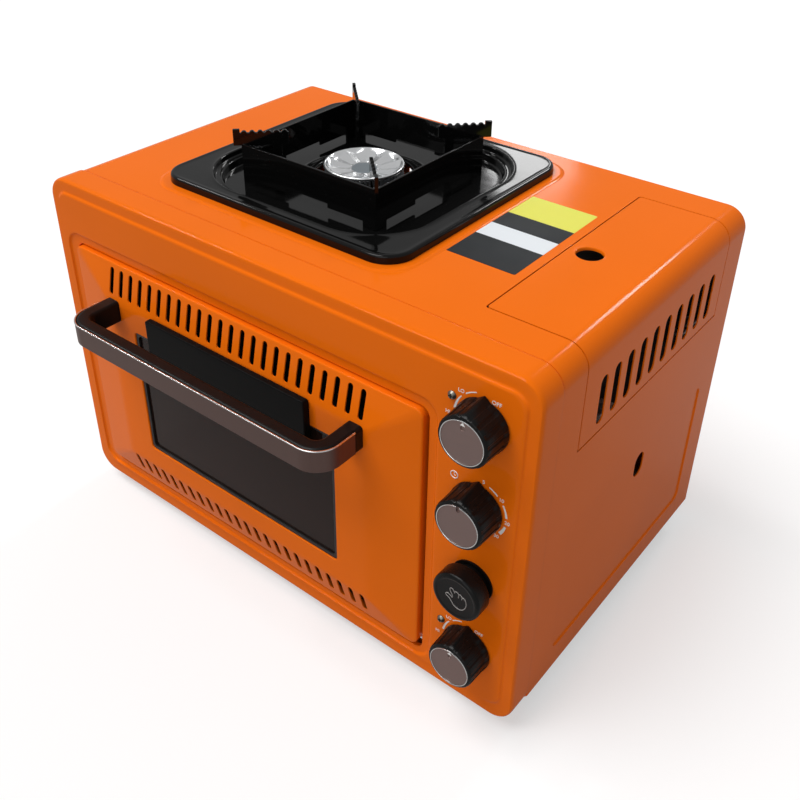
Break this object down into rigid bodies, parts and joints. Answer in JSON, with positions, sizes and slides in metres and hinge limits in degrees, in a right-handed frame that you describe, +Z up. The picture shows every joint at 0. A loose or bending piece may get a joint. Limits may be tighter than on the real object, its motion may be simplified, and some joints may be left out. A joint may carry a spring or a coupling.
{
  "type": "portable gas oven with hob",
  "caption": "Cartridge-fed camp oven with a drop-down glass door, a lidded gas bay, turning knobs and a lift-off pan support on a one-burner hob.",
  "frame": {"origin": "centre of the whole object's footprint, on the surface that the feet stand on", "axes": "+X to the right as seen from the front, +Y from the door towards the back, +Z up"},
  "size_m": [0.511, 0.387, 0.3875],
  "materials": {
    "cabinet_paint": "gloss orange powder paint",
    "galvanised_steel": "plain galvanised sheet",
    "bright_steel": "bright zinc or chrome plate",
    "black_enamel": "gloss black enamel",
    "black_screws": "black oxide",
    "knob_plastic": "gloss black moulding",
    "handle_plastic": "fine satin black moulding",
    "satin_strip": "satin brown-grey anodised with bright bevels",
    "knob_face": "satin warm grey with a bright rim",
    "window_glass": "smoked tempered glass",
    "window_edge_black": "black heat-proof edging",
    "valve_brass": "cast and turned brass",
    "copper_pipe": "drawn copper tube",
    "burner_alloy": "polished with a matt centre",
    "burner_casting": "as cast",
    "electrode_ceramic": "glazed white ceramic",
    "foot_rubber": "matt black rubber"
  },
  "bodies": {
    "cabinet": {"cabinet_shell": "cabinet_paint", "front_bezel": "cabinet_paint", "back_panel": "cabinet_paint", "base_pan": "galvanised_steel", "rubber_feet": "foot_rubber", "front_screws": "black_screws", "back_screws": "bright_steel", "oven_liner": "galvanised_steel", "flame_spreader": "galvanised_steel", "oven_burner_tube": "galvanised_steel", "oven_electrode": "electrode_ceramic", "bay_pan": "galvanised_steel", "cartridge_cradle": "galvanised_steel", "pressure_regulator": "valve_brass", "gas_pipes": "copper_pipe", "stove_valve": "valve_brass", "oven_valve": "valve_brass", "timer_movement": "galvanised_steel", "safety_valve": "valve_brass", "safety_collar": "knob_plastic", "hinge_brackets": "galvanised_steel", "lid_brackets": "galvanised_steel", "lid_pin": "bright_steel", "mixer_tube": "galvanised_steel", "burner_cup": "burner_casting", "burner_head": "burner_alloy", "stove_electrode": "electrode_ceramic"},
    "door": {"door_panel": "cabinet_paint", "door_inner_panel": "black_enamel", "window_glass": "window_glass", "window_edge": "window_edge_black", "glass_retainer": "galvanised_steel", "heat_shield": "black_enamel", "handle_bar": "handle_plastic", "handle_strip": "satin_strip", "handle_screws": "bright_steel", "hinge_pins": "bright_steel"},
    "rack": {"wire_rack": "bright_steel"},
    "stove_knob": {"stove_knob": "knob_plastic", "stove_disc": "knob_face", "stove_shaft": "bright_steel"},
    "timer_knob": {"timer_knob": "knob_plastic", "timer_disc": "knob_face", "timer_shaft": "bright_steel"},
    "oven_knob": {"oven_knob": "knob_plastic", "oven_disc": "knob_face", "oven_shaft": "bright_steel"},
    "safety_button": {"safety_button": "knob_plastic", "safety_stem": "bright_steel"},
    "lid": {"cartridge_lid": "cabinet_paint", "lid_knuckles": "galvanised_steel"},
    "tray": {"drip_tray": "black_enamel"},
    "support": {"pan_support": "black_enamel"}
  },
  "joints": [
    {"name": "door_hinge", "type": "hinge", "parent": "cabinet", "child": "door", "pos_m": [-0.03, -0.129, 0.0495], "axis": [1, 0, 0], "range_deg": [0, 84], "stiffness_Nm_per_rad": 0.5, "springref_deg": -74.48},
    {"name": "rack_slide", "type": "slide", "parent": "cabinet", "child": "rack", "axis": [0, -1, 0], "range_m": [0, 0.125]},
    {"name": "stove_knob_turn", "type": "hinge", "parent": "cabinet", "child": "stove_knob", "pos_m": [0.2135, -0.1535, 0.295], "axis": [0, -1, 0], "range_deg": [0, 100]},
    {"name": "timer_knob_turn", "type": "hinge", "parent": "cabinet", "child": "timer_knob", "pos_m": [0.2135, -0.1535, 0.2225], "axis": [0, -1, 0], "range_deg": [-150, 0]},
    {"name": "oven_knob_turn", "type": "hinge", "parent": "cabinet", "child": "oven_knob", "pos_m": [0.2135, -0.1535, 0.0775], "axis": [0, -1, 0], "range_deg": [0, 100]},
    {"name": "safety_push", "type": "slide", "parent": "cabinet", "child": "safety_button", "axis": [0, 1, 0], "range_m": [0, 0.005], "stiffness_N_per_m": 400, "springref_m": -0.005},
    {"name": "lid_hinge", "type": "hinge", "parent": "cabinet", "child": "lid", "pos_m": [0.2495, 0.0425, 0.259], "axis": [0, 1, 0], "range_deg": [0, 100]},
    {"name": "tray_lift", "type": "slide", "parent": "cabinet", "child": "tray", "axis": [0, 0, 1], "range_m": [0, 0.06]},
    {"name": "support_lift", "type": "slide", "parent": "tray", "child": "support", "axis": [0, 0, 1], "range_m": [0, 0.06]}
  ],
  "couplings": [
    {"joint": "rack_slide", "follows": "door_hinge", "m_per_rad": 0.08}
  ]
}
